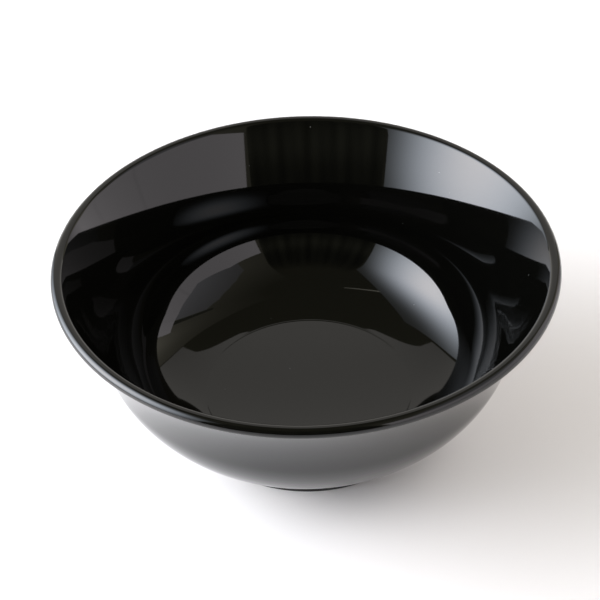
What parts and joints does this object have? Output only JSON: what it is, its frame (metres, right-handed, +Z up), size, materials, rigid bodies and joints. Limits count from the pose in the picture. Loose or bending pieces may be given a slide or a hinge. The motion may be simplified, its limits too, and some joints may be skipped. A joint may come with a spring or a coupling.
{
  "type": "bowl",
  "caption": "Round glossy black moulded bowl with a dished floor inside a low ring, deep belly, flared wall, rounded bead lip and a foot ring.",
  "frame": {"origin": "middle of the circle that the foot ring stands on, at the level of the table", "axes": "+Z up along the bowl's axis of revolution, out of its mouth; X and Y lie in the table plane and are interchangeable"},
  "size_m": [0.2, 0.2, 0.0805],
  "materials": {
    "bowl": "glossy black, polished smooth"
  },
  "bodies": {
    "root": {"bowl": "bowl"}
  },
  "joints": []
}
